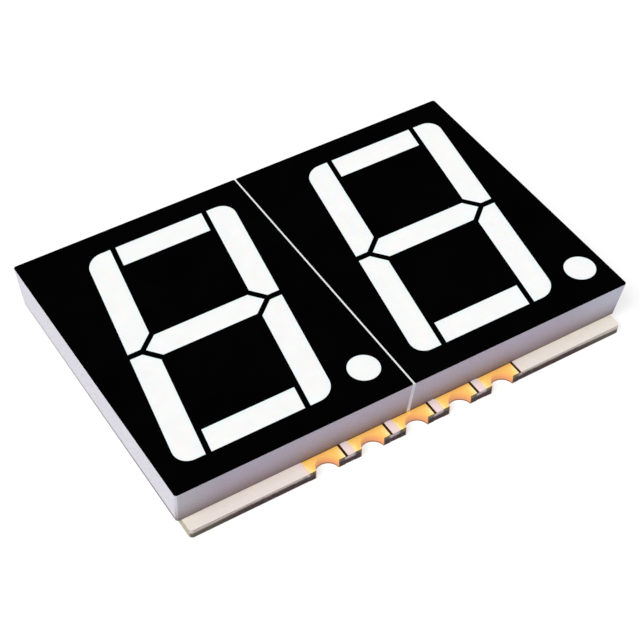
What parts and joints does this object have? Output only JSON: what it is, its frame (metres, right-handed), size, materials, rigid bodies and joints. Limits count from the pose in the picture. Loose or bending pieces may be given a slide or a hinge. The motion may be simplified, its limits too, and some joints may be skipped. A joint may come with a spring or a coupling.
{
  "type": "seven segment display",
  "caption": "Flat surface-mount numeric display: white reflector housings with a black face and slanted milky segments on a thin board with gold half-hole terminals.",
  "frame": {"origin": "centre of the underside: middle of the footprint, level with the faces of the lower solder pads", "axes": "+X along the reading direction, left digit to right digit; +Y up the digits; +Z out of the display face"},
  "size_m": [0.0256, 0.0178, 0.0029],
  "materials": {
    "white_moulding": "satin moulded white",
    "black_print": "matte black print",
    "milky_resin": "flat milky cast resin",
    "solder_mask": "semi-gloss white lacquer",
    "laminate": "routed dark glass-fibre edge",
    "gold_plating": "immersion gold, slightly uneven",
    "joint_adhesive": "cured white adhesive, wiped flush",
    "silver_adhesive": "silver-filled epoxy",
    "bond_wire": "drawn gold wire",
    "led_chip": "clear crystal"
  },
  "bodies": {
    "root": {"board_core": "laminate", "top_solder_mask": "solder_mask", "bottom_solder_mask": "solder_mask", "joint_bead": "joint_adhesive", "terminal_1": "gold_plating", "terminal_2": "gold_plating", "terminal_3": "gold_plating", "terminal_4": "gold_plating", "terminal_5": "gold_plating", "terminal_6": "gold_plating", "terminal_7": "gold_plating", "terminal_8": "gold_plating", "terminal_9": "gold_plating", "terminal_10": "gold_plating", "left_housing": "white_moulding", "left_face_print": "black_print", "left_chip_lands": "gold_plating", "left_die_attach": "silver_adhesive", "left_bond_wires": "bond_wire", "left_fill_a": "milky_resin", "left_fill_d": "milky_resin", "left_fill_g": "milky_resin", "left_fill_b": "milky_resin", "left_fill_c": "milky_resin", "left_fill_e": "milky_resin", "left_fill_f": "milky_resin", "left_fill_dp": "milky_resin", "left_chip_a": "led_chip", "left_chip_d": "led_chip", "left_chip_g": "led_chip", "left_chip_b": "led_chip", "left_chip_c": "led_chip", "left_chip_e": "led_chip", "left_chip_f": "led_chip", "left_chip_dp": "led_chip", "right_housing": "white_moulding", "right_face_print": "black_print", "right_chip_lands": "gold_plating", "right_die_attach": "silver_adhesive", "right_bond_wires": "bond_wire", "right_fill_a": "milky_resin", "right_fill_d": "milky_resin", "right_fill_g": "milky_resin", "right_fill_b": "milky_resin", "right_fill_c": "milky_resin", "right_fill_e": "milky_resin", "right_fill_f": "milky_resin", "right_fill_dp": "milky_resin", "right_chip_a": "led_chip", "right_chip_d": "led_chip", "right_chip_g": "led_chip", "right_chip_b": "led_chip", "right_chip_c": "led_chip", "right_chip_e": "led_chip", "right_chip_f": "led_chip", "right_chip_dp": "led_chip"}
  },
  "joints": []
}
